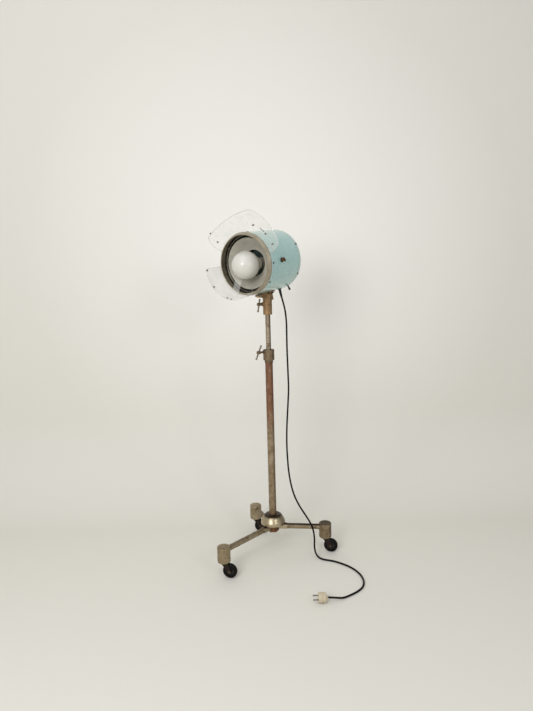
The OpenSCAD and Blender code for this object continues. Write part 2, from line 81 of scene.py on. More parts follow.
CAMERA_AT = COLUMN + Vector((-0.009, -2.150, 1.1593))
CAMERA_PITCH = math.radians(8.67)
CAMERA_ROLL = math.radians(-1.53)
CAMERA_ANGLE = math.radians(66.0)


def make_camera():
    data = bpy.data.cameras.new("camera")
    data.sensor_fit = "VERTICAL"
    data.angle = CAMERA_ANGLE
    camera = bpy.data.objects.new("camera", data)
    bpy.context.collection.objects.link(camera)
    forward = Vector((0, math.cos(CAMERA_PITCH), -math.sin(CAMERA_PITCH)))
    level_up = Vector((0, math.sin(CAMERA_PITCH), math.cos(CAMERA_PITCH)))
    right = Vector((math.cos(CAMERA_ROLL), 0, 0)) + level_up * math.sin(CAMERA_ROLL)
    up = right.cross(forward)
    camera.matrix_world = Matrix.Translation(CAMERA_AT) @ Matrix((right, up, -forward)).transposed().to_4x4()
    bpy.context.scene.camera = camera


make_camera()


# ---- mesh helpers ----

def add_mesh(name, verts, faces, matrix=None, smooth=True):
    mesh = bpy.data.meshes.new(name)
    mesh.from_pydata([tuple(matrix @ Vector(v)) if matrix else tuple(v) for v in verts], [], faces)
    mesh.validate()
    work = bmesh.new()
    work.from_mesh(mesh)
    bmesh.ops.recalc_face_normals(work, faces=work.faces)
    work.to_mesh(mesh)
    work.free()
    mesh.polygons.foreach_set("use_smooth", [smooth] * len(mesh.polygons))
    piece = bpy.data.objects.new(name, mesh)
    bpy.context.collection.objects.link(piece)
    return piece


def apply_modifiers(piece):
    bpy.context.view_layer.update()
    evaluated = piece.evaluated_get(bpy.context.evaluated_depsgraph_get())
    mesh = bpy.data.meshes.new_from_object(evaluated)
    piece.modifiers.clear()
    piece.data = mesh


def soften(piece, width, segments=2, angle=35):
    """Round the sharp edges and keep the flats flat."""
    bevel = piece.modifiers.new("bevel", "BEVEL")
    bevel.width = width
    bevel.segments = segments
    bevel.limit_method = "ANGLE"
    bevel.angle_limit = math.radians(angle)
    bevel.harden_normals = True
    apply_modifiers(piece)
    return piece


def arc_corner(a, b, c, radius, steps):
    """Points that round the corner b between a and c."""
    to_a = (a - b).normalized()
    to_c = (c - b).normalized()
    half = to_a.angle(to_c) / 2
    reach = min(radius / max(math.tan(half), 1e-6), (a - b).length * 0.48, (c - b).length * 0.48)
    start = b + to_a * reach
    end = b + to_c * reach
    return [start.lerp(b, k / steps).lerp(b.lerp(end, k / steps), k / steps) for k in range(steps + 1)]


def rounded(points, radius, steps=5):
    """A closed outline with all its corners rounded."""
    points = [Vector(p) for p in points]
    count = len(points)
    out = []
    for i, p in enumerate(points):
        out += arc_corner(points[i - 1], p, points[(i + 1) % count], radius, steps)
    return out


def rounded_path(points, radius, steps=5):
    """An open outline whose inner corners are rounded."""
    points = [Vector(p) for p in points]
    out = [points[0]]
    for i in range(1, len(points) - 1):
        out += arc_corner(points[i - 1], points[i], points[i + 1], radius, steps)
    return out + [points[-1]]


def rounded_ring(outline, radius):
    """A closed outline of (radius, height) points for the lathe, with rounded corners."""
    return [tuple(p) for p in rounded([(x, z, 0) for x, z in outline], radius, 3)]


def lathe(name, profile, matrix, sides=96, closed=True):
    """Turn an outline of (radius, height) points round the matrix's Z axis."""
    count = len(profile)
    verts = []
    for k in range(sides):
        turn = 2 * math.pi * k / sides
        verts += [(p[0] * math.cos(turn), p[0] * math.sin(turn), p[1]) for p in profile]
    faces = []
    for k in range(sides):
        after = (k + 1) % sides
        for i in range(count if closed else count - 1):
            j = (i + 1) % count
            faces.append((k * count + i, after * count + i, after * count + j, k * count + j))
    piece = add_mesh(name, verts, faces, matrix)
    merge(piece)
    return piece


def merge(piece, distance=1e-6):
    work = bmesh.new()
    work.from_mesh(piece.data)
    bmesh.ops.remove_doubles(work, verts=work.verts, dist=distance)
    bmesh.ops.dissolve_degenerate(work, dist=distance, edges=work.edges)
    bmesh.ops.recalc_face_normals(work, faces=work.faces)
    work.to_mesh(piece.data)
    work.free()


def join(name, pieces):
    """Join pieces into one object."""
    work = bmesh.new()
    for piece in pieces:
        work.from_mesh(piece.data)
        bpy.data.objects.remove(piece)
    mesh = bpy.data.meshes.new(name)
    work.to_mesh(mesh)
    work.free()
    joined = bpy.data.objects.new(name, mesh)
    bpy.context.collection.objects.link(joined)
    return joined


def copy_of(node, name):
    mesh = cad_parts[node].data.copy()
    piece = bpy.data.objects.new(name, mesh)
    bpy.context.collection.objects.link(piece)
    return piece


def cast_copy(node, name, voxel, passes):
    """A copy of a CAD solid with the blended corners of a casting."""
    piece = copy_of(node, name)
    remesh = piece.modifiers.new("remesh", "REMESH")
    remesh.mode = "VOXEL"
    remesh.voxel_size = voxel
    remesh.use_smooth_shade = True
    smooth = piece.modifiers.new("smooth", "SMOOTH")
    smooth.factor = 0.5
    smooth.iterations = passes
    apply_modifiers(piece)
    return piece


def sweep(name, path, radius, sides=12):
    """A closed round tube along a list of points; radius may be one value for each point."""
    radii = radius if isinstance(radius, list) else [radius] * len(path)
    verts = []
    faces = []
    side = Vector((0.28, 0.93, 0.24))
    for i, p in enumerate(path):
        heading = (path[min(i + 1, len(path) - 1)] - path[max(i - 1, 0)]).normalized()
        side = (side - heading * side.dot(heading)).normalized()
        other = heading.cross(side)
        for k in range(sides):
            turn = 2 * math.pi * k / sides
            verts.append(p + (side * math.cos(turn) + other * math.sin(turn)) * radii[i])
    for i in range(len(path) - 1):
        for k in range(sides):
            after = (k + 1) % sides
            faces.append((i * sides + k, i * sides + after, (i + 1) * sides + after, (i + 1) * sides + k))
    faces.append(tuple(range(sides)))
    faces.append(tuple(range((len(path) - 1) * sides, len(path) * sides)))
    return add_mesh(name, verts, faces)


# ---- cords ----

# The route from the gland to the plug, measured from the foot of the column
ROUTE = [(0.050, 0.0317, 1.091), (0.0516, 0.0316, 1.083), (0.057, 0.0325, 1.060), (0.064, 0.032, 1.033),
         (0.0705, 0.0305, 1.000), (0.074, 0.029, 0.955), (0.074, 0.027, 0.910), (0.074, 0.024, 0.850),
         (0.075, 0.021, 0.795), (0.076, 0.018, 0.740), (0.0765, 0.015, 0.690), (0.073, 0.011, 0.635),
         (0.069, 0.007, 0.580), (0.0655, 0.003, 0.525), (0.064, -0.002, 0.465), (0.0655, -0.007, 0.410),
         (0.069, -0.011, 0.355), (0.077, -0.016, 0.300), (0.090, -0.022, 0.252), (0.110, -0.028, 0.209),
         (0.134, -0.033, 0.170), (0.153, -0.037, 0.137), (0.164, -0.040, 0.105), (0.1675, -0.043, 0.072),
         (0.167, -0.050, 0.038), (0.172, -0.061, 0.016), (0.185, -0.075, 0.0055), (0.205, -0.088, 0.0042),
         (0.235, -0.099, 0.004), (0.263, -0.117, 0.004), (0.290, -0.140, 0.004), (0.313, -0.170, 0.004),
         (0.329, -0.208, 0.004), (0.333, -0.248, 0.004), (0.324, -0.284, 0.004), (0.302, -0.312, 0.004),
         (0.270, -0.336, 0.004), (0.240, -0.355, 0.0065), (0.213, -0.366, 0.0145), (0.1855, -0.369, 0.0185)]
SPLIT_AT = 8
CORD_R = 0.0035
CORD_STEPS = 8


def spot(u):
    """Catmull-Rom spline through the route, at u stretches from its first point."""
    last = len(ROUTE) - 1
    i = min(int(u), last - 1)
    f = u - i
    p = Vector(ROUTE[i])
    q = Vector(ROUTE[i + 1])
    a = Vector(ROUTE[i - 1]) if i > 0 else 2 * p - q
    b = Vector(ROUTE[i + 2]) if i < last - 1 else 2 * q - p
    curve = 2 * p + (q - a) * f + (2 * a - 5 * p + 4 * q - b) * f * f + (3 * p - a - 3 * q + b) * f**3
    return COLUMN + curve / 2


def route_part(first, last):
    return [spot(first + k / CORD_STEPS) for k in range((last - first) * CORD_STEPS + 1)]


upper_path = route_part(0, SPLIT_AT)
lower_path = route_part(SPLIT_AT, len(ROUTE) - 1)
cord_top = sweep("mains_cord_upper", upper_path, CORD_R)
cord_low = sweep("mains_cord_lower", lower_path, CORD_R)


# ---- stage and light ----

WALL_Y = COLUMN.y + 0.66
WALL_TOP = 4.0
FLOOR_FRONT = -4.5
STAGE_HALF_WIDTH = 5.0
COVE = 0.42
COVE_STEPS = 32
LIGHT_TINT = (0.98, 0.988, 1.0)
WINDOW_TINT = (0.98, 0.99, 1.0)
SKY_TINT = (0.978, 0.99, 1.0, 1)
SKY_STRENGTH = 0.53


def make_stage():
    """Floor and wall in one sheet, joined by a rounded cove."""
    profile = [(FLOOR_FRONT, 0.0), (WALL_Y - COVE, 0.0)]
    for k in range(1, COVE_STEPS + 1):
        turn = math.pi / 2 * k / COVE_STEPS
        profile.append((WALL_Y - COVE + COVE * math.sin(turn), COVE - COVE * math.cos(turn)))
    profile.append((WALL_Y, WALL_TOP))
    verts = [(x, y, z) for x in (-STAGE_HALF_WIDTH, STAGE_HALF_WIDTH) for y, z in profile]
    count = len(profile)
    faces = [(i, i + 1, count + i + 1, count + i) for i in range(count - 1)]
    return add_mesh("studio", verts, faces)


studio = make_stage()


def area_light(name, at, target, size, power, colour):
    data = bpy.data.lights.new(name, "AREA")
    data.shape = "DISK"
    data.size = size
    data.energy = power
    data.color = colour
    light = bpy.data.objects.new(name, data)
    light.location = at
    light.rotation_euler = (Vector(target) - Vector(at)).to_track_quat("-Z", "Y").to_euler()
    bpy.context.collection.objects.link(light)


area_light("key", (-1.15, -2.6, 1.75), (0, 0, 0.95), 1.1, 30, LIGHT_TINT)
area_light("top", (-0.9, -1.9, 3.2), (0, 0, 0.7), 2.4, 22, LIGHT_TINT)
area_light("window", (1.35, -2.3, 1.72), (0, 0, 1.1), 0.5, 8, WINDOW_TINT)

world = bpy.data.worlds.new("world")
bpy.context.scene.world = world
world.use_nodes = True
sky = world.node_tree.nodes["Background"]
sky.inputs["Color"].default_value = SKY_TINT
sky.inputs["Strength"].default_value = SKY_STRENGTH
bpy.context.scene.view_settings.view_transform = "Standard"


# ---- materials ----

def rgb(red, green, blue):
    """Linear colour from 0-255 screen values."""
    def linear(value):
        value /= 255
        return value / 12.92 if value <= 0.04045 else ((value + 0.055) / 1.055) ** 2.4
    return (linear(red), linear(green), linear(blue), 1)


class Paint:
    """A material built from nodes, on coordinates that travel with the piece."""

    def __init__(self, name, rough=0.5, metal=0.0):
        self.material = bpy.data.materials.new(name)
        self.material.use_nodes = True
        self.tree = self.material.node_tree
        self.shader = self.tree.nodes["Principled BSDF"]
        coordinates = self.tree.nodes.new("ShaderNodeTexCoord")
        self.place = coordinates.outputs["Object"]
        self.normal = coordinates.outputs["Normal"]
        self.set("Roughness", rough)
        self.set("Metallic", metal)

    def set(self, socket, value):
        target = self.shader.inputs[socket]
        if isinstance(value, bpy.types.NodeSocket):
            self.tree.links.new(value, target)
        else:
            target.default_value = value

    def node(self, kind, inputs=None, **settings):
        node = self.tree.nodes.new(kind)
        for key, value in settings.items():
            setattr(node, key, value)
        for key, value in (inputs or {}).items():
            if isinstance(value, bpy.types.NodeSocket):
                self.tree.links.new(value, node.inputs[key])
            else:
                node.inputs[key].default_value = value
        return node

    def noise(self, scale, detail=4.0, rough=0.6, stretch=(1, 1, 1)):
        place = self.node("ShaderNodeMapping", {"Vector": self.place, "Scale": stretch}).outputs["Vector"]
        return self.node("ShaderNodeTexNoise", {"Vector": place, "Scale": scale, "Detail": detail,
                                                "Roughness": rough}).outputs["Fac"]

    def spots(self, scale, small, large):
        """1 inside scattered round spots, 0 between them."""
        cells = self.node("ShaderNodeTexVoronoi", {"Vector": self.place, "Scale": scale}).outputs["Distance"]
        return self.span(cells, large, small)

    def span(self, value, low, high, out_low=0.0, out_high=1.0):
        return self.node("ShaderNodeMapRange", {"Value": value, "From Min": low, "From Max": high,
                                                "To Min": out_low, "To Max": out_high}).outputs["Result"]

    def math(self, operation, a, b=0.5):
        return self.node("ShaderNodeMath", {0: a, 1: b}, operation=operation).outputs[0]

    def mix(self, factor, a, b):
        node = self.node("ShaderNodeMix", data_type="RGBA")
        for index, value in ((0, factor), (6, a), (7, b)):
            if isinstance(value, bpy.types.NodeSocket):
                self.tree.links.new(value, node.inputs[index])
            else:
                node.inputs[index].default_value = value
        return node.outputs[2]

    def height(self):
        split = self.node("ShaderNodeSeparateXYZ", {"Vector": self.place})
        return split.outputs["Z"]

    def facing(self, axis, low, high):
        """1 where the surface faces along an axis, 0 where it doesn't."""
        split = self.node("ShaderNodeSeparateXYZ", {"Vector": self.normal})
        return self.span(split.outputs[axis], low, high)

    def lamp_radius(self):
        """Distance from the lamp axis."""
        centre = LAMP.translation
        away = self.node("ShaderNodeVectorMath", {0: self.place, 1: tuple(centre)}, operation="SUBTRACT")
        across = self.node("ShaderNodeVectorMath", {0: away.outputs[0], 1: tuple(LAMP_AXIS)},
                           operation="CROSS_PRODUCT")
        return self.node("ShaderNodeVectorMath", {0: across.outputs[0]}, operation="LENGTH").outputs["Value"]

    def lamp_depth(self):
        """Distance along the lamp axis from the column."""
        centre = LAMP.translation
        away = self.node("ShaderNodeVectorMath", {0: self.place, 1: tuple(centre)}, operation="SUBTRACT")
        return self.node("ShaderNodeVectorMath", {0: away.outputs[0], 1: tuple(LAMP_AXIS)},
                         operation="DOT_PRODUCT").outputs["Value"]

    def bump(self, height, strength, distance):
        bump = self.node("ShaderNodeBump", {"Height": height, "Strength": strength, "Distance": distance})
        self.set("Normal", bump.outputs["Normal"])


# Painted shade: the dark laid on faces that look up and on faces that look right
PAINTED_SHADE = rgb(44, 30, 20)


def worn_metal(name, light, dark, rust, wear=0.5, rough=0.32, metal=0.85, grain=90, top=0.0, side=0.0):
    """Plated metal with cloudy tarnish, brown patches where the plate is gone, and fine pits.

    Painted shade darkens what faces up by top, and what faces right by side."""
    paint = Paint(name, rough, metal)
    cloud = paint.span(paint.noise(grain * 0.25, 5, 0.65), 0.35, 0.65)
    patch = paint.span(paint.noise(grain, 8, 0.75), wear - 0.04, wear + 0.08)
    pits = paint.spots(grain * 9, 0.10, 0.28)
    tone = paint.mix(cloud, light, dark)
    tone = paint.mix(patch, rust, tone)
    tone = paint.mix(paint.math("MULTIPLY", pits, 0.6), tone, rust)
    # Painted shade on faces that look up, and on faces that look right
    if top:
        tone = paint.mix(paint.math("MULTIPLY", paint.facing("Z", 0.45, 0.8), top), tone, PAINTED_SHADE)
    if side:
        tone = paint.mix(paint.math("MULTIPLY", paint.facing("X", 0.45, 0.75), side), tone, PAINTED_SHADE)
    paint.set("Base Color", tone)
    uneven = paint.noise(grain * 3, 6, 0.7)
    worn = paint.span(patch, 0, 1, 0.35, 0.0)
    paint.set("Roughness", paint.math("ADD", worn, paint.span(uneven, 0.3, 0.7, rough * 0.7, rough * 1.4)))
    paint.set("Metallic", paint.span(patch, 0, 1, 0.35, metal))
    paint.bump(paint.math("ADD", uneven, paint.math("MULTIPLY", pits, -0.8)), 0.25, 0.0004)
    return paint.material


def enamel():
    """Glossy turquoise enamel with faint clouding and tiny chips, a painted highlight along its front bead
    and painted shade on the inside.
    """
    paint = Paint("turquoise_enamel", 0.26)
    cloud = paint.span(paint.noise(14, 4, 0.6), 0.3, 0.7)
    skin = paint.mix(cloud, rgb(155, 190, 188), rgb(168, 200, 196))
    grime = paint.span(paint.noise(60, 8, 0.75), 0.60, 0.78)
    skin = paint.mix(paint.math("MULTIPLY", grime, 0.35), skin, rgb(122, 142, 130))
    chips = paint.math("MULTIPLY", paint.spots(42, 0.03, 0.055), paint.span(paint.noise(25, 2), 0.5, 0.56))
    skin = paint.mix(chips, skin, rgb(120, 92, 66))
    seam = paint.span(paint.lamp_depth(), SEAM + 0.0006, SEAM + 0.0022, 0.75, 0)
    skin = paint.mix(seam, skin, rgb(84, 100, 95))
    # Painted highlight: a pale band along the drum's rolled front edge
    bead_highlight = paint.span(paint.lamp_depth(), DRUM_FRONT - 0.0035, DRUM_FRONT - 0.002, 0, 0.5)
    skin = paint.mix(bead_highlight, skin, rgb(206, 222, 216))
    # Painted shade over the drum's inside
    inside = paint.span(paint.lamp_radius(), DRUM_R - 0.0011, DRUM_R - 0.0008, 1, 0)
    paint.set("Base Color", paint.mix(inside, skin, rgb(70, 64, 54)))
    ripple = paint.noise(45, 3, 0.5)
    paint.set("Roughness", paint.span(ripple, 0.3, 0.7, 0.2, 0.34))
    paint.set("Coat Weight", 0.5)
    paint.set("Coat Roughness", 0.12)
    raised = paint.math("MULTIPLY", ripple, 0.4)
    paint.bump(paint.math("ADD", raised, paint.math("MULTIPLY", chips, -0.6)), 0.12, 0.001)
    return paint.material


def cover_enamel():
    """The rear cover's enamel, with a painted highlight along its rim and patchy dust."""
    paint = Paint("cover_enamel", 0.28)
    cloud = paint.span(paint.noise(16, 4, 0.6), 0.3, 0.7)
    skin = paint.mix(cloud, rgb(156, 188, 183), rgb(170, 198, 191))
    # Painted highlight: paler towards the cover's rim by the seam
    rim = paint.span(paint.lamp_depth(), SEAM - 0.006, SEAM - 0.001, 0.1, 0.7)
    skin = paint.mix(rim, skin, rgb(190, 210, 204))
    grime = paint.span(paint.noise(70, 8, 0.75), 0.6, 0.8)
    skin = paint.mix(paint.math("MULTIPLY", grime, 0.4), skin, rgb(120, 140, 128))
    paint.set("Base Color", skin)
    ripple = paint.noise(50, 3, 0.5)
    paint.set("Roughness", paint.span(ripple, 0.3, 0.7, 0.22, 0.36))
    paint.set("Coat Weight", 0.5)
    paint.bump(ripple, 0.08, 0.001)
    return paint.material


def tube_finish():
    """The lower tube: red-brown rust above, dull worn plate below, streaked along its length, with painted
    shade on the side that faces right.
    """
    paint = Paint("rusty_tube", 0.5, 0.6)
    streak = paint.noise(60, 8, 0.7, (1, 1, 0.12))
    blotch = paint.span(paint.noise(38, 7, 0.75), 0.38, 0.62)
    upper = paint.mix(blotch, rgb(106, 68, 46), rgb(136, 96, 70))
    lower = paint.mix(blotch, rgb(112, 90, 60), rgb(158, 142, 116))
    height = paint.math("ADD", paint.height(), paint.span(streak, 0.3, 0.7, -0.05, 0.05))
    body = paint.mix(paint.span(height, 0.52, 0.62), lower, upper)
    bare = paint.span(paint.noise(110, 8, 0.8, (1, 1, 0.3)), 0.56, 0.66)
    body = paint.mix(paint.math("MULTIPLY", bare, 0.7), body, rgb(188, 176, 154))
    foot = paint.span(paint.height(), 0.17, 0.24, 0.7, 0)
    body = paint.mix(foot, body, rgb(112, 84, 56))
    # Painted shade on the side that faces right
    shade = paint.math("MULTIPLY", paint.facing("X", 0.4, 0.9), 0.55)
    body = paint.mix(shade, body, rgb(62, 38, 24))
    paint.set("Base Color", body)
    paint.set("Roughness", paint.span(streak, 0.3, 0.7, 0.32, 0.62))
    paint.set("Metallic", paint.span(bare, 0, 1, 0.35, 0.9))
    paint.bump(streak, 0.3, 0.0005)
    return paint.material


def rubber(name, colour, dust):
    paint = Paint(name, 0.62)
    grit = paint.noise(900, 6, 0.7)
    film = paint.span(paint.noise(60, 6, 0.7), 0.5, 0.75)
    paint.set("Base Color", paint.mix(paint.math("MULTIPLY", film, 0.25), colour, dust))
    paint.set("Specular IOR Level", 0.12)
    paint.set("Roughness", paint.span(film, 0, 1, 0.45, 0.8))
    paint.bump(grit, 0.15, 0.0003)
    return paint.material


def plastic(name, colour, shade, rough=0.35):
    paint = Paint(name, rough)
    cloud = paint.span(paint.noise(120, 5, 0.65), 0.35, 0.7)
    grain = paint.noise(1500, 4, 0.6)
    paint.set("Base Color", paint.mix(cloud, colour, shade))
    paint.set("Roughness", paint.span(cloud, 0, 1, rough * 0.8, rough * 1.3))
    paint.bump(grain, 0.06, 0.0002)
    return paint.material


def clear_sheet(name, weight):
    """Clear acrylic with light scuffs and dust; weight is how much of it one face shows."""
    paint = Paint(name, 0.08)
    scuffs = paint.span(paint.noise(220, 8, 0.8, (1, 0.25, 1)), 0.58, 0.75)
    film = paint.span(paint.noise(18, 4, 0.6), 0.35, 0.75)
    paint.set("Base Color", paint.mix(film, rgb(232, 233, 228), rgb(214, 214, 205)))
    paint.set("Roughness", paint.span(scuffs, 0, 1, 0.04, 0.3))
    paint.set("Coat Weight", 1.0)
    paint.set("Coat Roughness", 0.02)
    scratched = paint.math("MULTIPLY", scuffs, 0.10)
    haze = paint.span(film, 0, 1, weight * 0.75, weight * 1.25)
    paint.set("Alpha", paint.math("ADD", scratched, haze))
    paint.bump(scuffs, 0.05, 0.0002)
    return paint.material


def opal_glass():
    paint = Paint("opal_glass", 0.1)
    cloud = paint.span(paint.noise(30, 4, 0.6), 0.3, 0.7)
    paint.set("Base Color", paint.mix(cloud, rgb(206, 203, 194), rgb(213, 210, 201)))
    paint.set("Subsurface Weight", 0.25)
    paint.set("Subsurface Radius", (0.012, 0.011, 0.009))
    paint.set("Coat Weight", 0.55)
    paint.set("Coat Roughness", 0.04)
    paint.set("Roughness", paint.span(cloud, 0, 1, 0.4, 0.5))
    paint.bump(paint.noise(70, 2, 0.5), 0.02, 0.001)
    return paint.material


def reflector_enamel():
    """Off-white enamel with patchy dust, and spinning marks round the dish."""
    paint = Paint("reflector_enamel", 0.38)
    radius = paint.lamp_radius()
    dust = paint.span(paint.noise(40, 6, 0.7), 0.4, 0.75)
    tone = paint.mix(dust, rgb(188, 184, 171), rgb(168, 163, 148))
    rings = paint.math("SINE", paint.math("MULTIPLY", radius, 2600.0))
    paint.set("Base Color", tone)
    paint.set("Roughness", paint.span(dust, 0, 1, 0.3, 0.5))
    paint.bump(rings, 0.05, 0.0003)
    return paint.material


def porcelain():
    paint = Paint("porcelain", 0.2)
    cloud = paint.span(paint.noise(50, 5, 0.6), 0.35, 0.65)
    paint.set("Base Color", paint.mix(cloud, rgb(232, 226, 210), rgb(212, 204, 184)))
    paint.set("Coat Weight", 0.6)
    paint.bump(paint.noise(200, 3), 0.05, 0.0005)
    return paint.material


def studio_paint():
    paint = Paint("studio_paint", 0.85)
    cloud = paint.noise(1.5, 3, 0.5)
    # Painted pool of light: brighter round a point on the wall at head height, darker away from it
    away = paint.node("ShaderNodeVectorMath", {0: paint.place, 1: (0, WALL_Y, 1.25)}, operation="DISTANCE")
    edge = paint.span(away.outputs["Value"], 0.2, 1.25)
    tone = paint.mix(edge, rgb(243, 240, 234), rgb(225, 222, 213))
    paint.set("Base Color", paint.mix(paint.math("MULTIPLY", cloud, 0.1), tone, rgb(222, 218, 210)))
    paint.bump(paint.noise(140, 4), 0.03, 0.001)
    return paint.material


# top and side set how much painted shade falls on the faces that look up and right
NICKEL = worn_metal("worn_nickel", rgb(178, 164, 138), rgb(146, 130, 102), rgb(98, 74, 48),
                    0.40, top=0.15)
# The shaft: painted shade down the side that faces right
SHAFT = worn_metal("tarnished_shaft_shaded_side", rgb(196, 182, 160), rgb(150, 134, 112), rgb(96, 60, 40),
                   0.42, side=0.8)
COLLAR = worn_metal("collar_nickel", rgb(160, 142, 114), rgb(128, 110, 84), rgb(74, 50, 30),
                    0.44, top=0.85, side=0.4)
LEG_METAL = worn_metal("leg_metal", rgb(166, 154, 128), rgb(132, 117, 90), rgb(92, 68, 44),
                       0.43, 0.36, top=0.25)
# The leg metal again, with strong painted shade on its top, for the right leg
LEG_SHADED = worn_metal("leg_painted_shade_top", rgb(178, 166, 142), rgb(142, 126, 98), rgb(92, 68, 44),
                      0.42, 0.34, top=0.95)
# The cap metal with painted shade on its top and right side, for the right cap
CAP_SHADED = worn_metal("cap_painted_shade_top", rgb(160, 146, 118), rgb(130, 114, 86), rgb(90, 66, 42),
                      0.42, top=0.8, side=0.6)
RING_METAL = worn_metal("ring_metal", rgb(178, 169, 149), rgb(150, 139, 118), rgb(116, 98, 74),
                        0.36, 0.34, 0.6)
BRONZE = worn_metal("bronze_casting", rgb(180, 148, 108), rgb(146, 116, 80), rgb(92, 62, 36),
                    0.42, 0.4, 0.55, 70, side=0.35)
COPPER = worn_metal("copper_brown", rgb(146, 104, 68), rgb(106, 74, 48), rgb(60, 36, 22),
                    0.42, 0.34, 0.75)
FORK_METAL = worn_metal("rusty_fork", rgb(46, 38, 32), rgb(32, 27, 23), rgb(40, 26, 18), 0.5, 0.6, 0.4)
SCREW_METAL = worn_metal("screw_steel", rgb(100, 90, 74), rgb(72, 62, 48), rgb(50, 36, 24),
                         0.45, 0.45, 0.8, 200)
ZINC = worn_metal("zinc_plate", rgb(160, 156, 144), rgb(120, 114, 100), rgb(84, 70, 52),
                  0.38, 0.28, 0.9, 140)
RIVET = worn_metal("aluminium_rivet", rgb(150, 147, 138), rgb(120, 116, 106), rgb(84, 76, 64),
                   0.4, 0.4, 0.7, 140)
BRASS = worn_metal("brass", rgb(196, 160, 96), rgb(160, 122, 66), rgb(92, 64, 34), 0.38, 0.3, 0.9, 120)
# The hub: heavy painted shade over its top, lighter painted shade on its right side
HUB = worn_metal("hub_nickel", rgb(204, 190, 160), rgb(168, 152, 122), rgb(104, 80, 52),
                 0.36, 0.3, 0.85, 60, 0.97, 0.5)
ENAMEL = enamel()
COVER = cover_enamel()
TUBE = tube_finish()
TYRE = rubber("tyre_rubber", rgb(15, 14, 13), rgb(54, 50, 43))
CORD = rubber("cord_rubber", rgb(9, 7, 6), rgb(24, 21, 18))
BLACK = plastic("black_plastic", rgb(16, 14, 13), rgb(28, 26, 23), 0.45)
CREAM = plastic("cream_plastic", rgb(204, 193, 168), rgb(186, 172, 142), 0.38)
SHEET_UPPER = clear_sheet("clear_acrylic_upper", 0.15)
SHEET_LOWER = clear_sheet("clear_acrylic_lower", 0.17)
# A more opaque sheet for the painted highlight along the shields' cut edges
SHEET_RIM_HIGHLIGHT = clear_sheet("clear_acrylic_rim_highlight", 0.62)
OPAL = opal_glass()
REFLECTOR = reflector_enamel()
PORCELAIN = porcelain()


def dress(piece, material):
    piece.data.materials.clear()
    piece.data.materials.append(material)
    return piece


def stand_in(piece, material, body, slot, *nodes):
    """A finished piece that rides on a body and replaces CAD nodes, if any are named."""
    dress(piece, material)
    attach(piece, body)
    if nodes:
        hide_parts(*nodes)
    return piece


dress(studio, studio_paint())


# ---- the plug, the strain relief and the cords ----

PLUG_ROLL = math.radians(16)
PIN_OFFSET = 0.0095
RIDGES = 16
RELIEF_STEPS = 16
PLUG = (
    Matrix.Translation(COLUMN + Vector((0.1515, -0.369, 0.0185)))
    @ Matrix.Rotation(PLUG_ROLL, 4, "X")
    @ Matrix.Rotation(math.pi / 2, 4, "Y")
)


def make_plug():
    """Round face, waist with grip ridges, tapered tail; the plug's Z axis points to its tail."""
    outline = [(0, 0.0005), (0.0150, 0.0005), (0.0150, 0.0), (0.0183, 0.0), (0.0183, 0.0130),
               (0.0168, 0.0150), (0.0168, 0.0165), (0.0180, 0.0175), (0.0180, 0.0255), (0.0150, 0.0275),
               (0.0082, 0.0295), (0.0070, 0.0340), (0, 0.0340)]
    parts = [lathe("body", rounded_path(outline, 0.0012, 4), PLUG, 72, closed=False)]
    for k in range(RIDGES):
        turn = math.radians(360 / RIDGES) * k
        at = PLUG @ Matrix.Rotation(turn, 4, "Z") @ Matrix.Translation((0.0174, 0, 0.0215))
        parts.append(block("ridge", (0.0008, 0.0011, 0.0036), at, 0.0004))
    collar = [(0, -0.0006), (0.0034, -0.0006), (0.0038, 0.0), (0.0038, 0.0006)]
    for side in (-1, 1):
        at = PLUG @ Matrix.Translation((0, PIN_OFFSET * side, 0.0004))
        parts.append(lathe("pin_base", collar, at, 32, False))
    return join("mains_plug", parts)


def block(name, half, matrix, round_by):
    """A box with rounded edges, given its half sizes."""
    x, y, z = half
    verts = [(sx * x, sy * y, sz * z) for sx in (-1, 1) for sy in (-1, 1) for sz in (-1, 1)]
    faces = [(0, 1, 3, 2), (4, 6, 7, 5), (0, 4, 5, 1), (2, 3, 7, 6), (0, 2, 6, 4), (1, 5, 7, 3)]
    return soften(add_mesh(name, verts, faces, matrix, smooth=False), round_by, 3)


def make_strain_relief():
    """A tapered rubber sleeve with rings, along the cord's first stretch."""
    path = [spot(1 + k / RELIEF_STEPS) for k in range(RELIEF_STEPS + 1)]
    radii = []
    for k in range(RELIEF_STEPS + 1):
        taper = 0.0055 - 0.0015 * k / RELIEF_STEPS
        radii.append(taper + (0.0003 if k % 2 else -0.0001))
    return sweep("strain_relief", path, radii, 20)


plug = stand_in(make_plug(), CREAM, "stand", "plug_cream", "plug_body")
relief = stand_in(make_strain_relief(), BLACK, "head", "black_plastic")
dress(cord_top, CORD)
dress(cord_low, CORD)
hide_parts("cord_upper")
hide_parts("cord_lower")
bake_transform(cord_top)
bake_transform(cord_low)


# ---- stand ----

LEG_Z = 0.115
LEG_DROP = 0.008
LEGS = {"right": (0.216, -2), "rear": (0.203, 112), "front_left": (0.268, 224)}

HUB_PROFILE = [(0.0151, 0.128), (0.050, 0.128), (0.050, 0.136), (0.0485, 0.141), (0.0455, 0.147),
               (0.042, 0.153), (0.0395, 0.158), (0.0365, 0.162), (0.032, 0.1655), (0.027, 0.168),
               (0.0151, 0.168)]
LOBE_PROFILE = [(0.0112, 0.025), (0.0130, 0.025), (0.0130, 0.057), (0.0112, 0.057)]


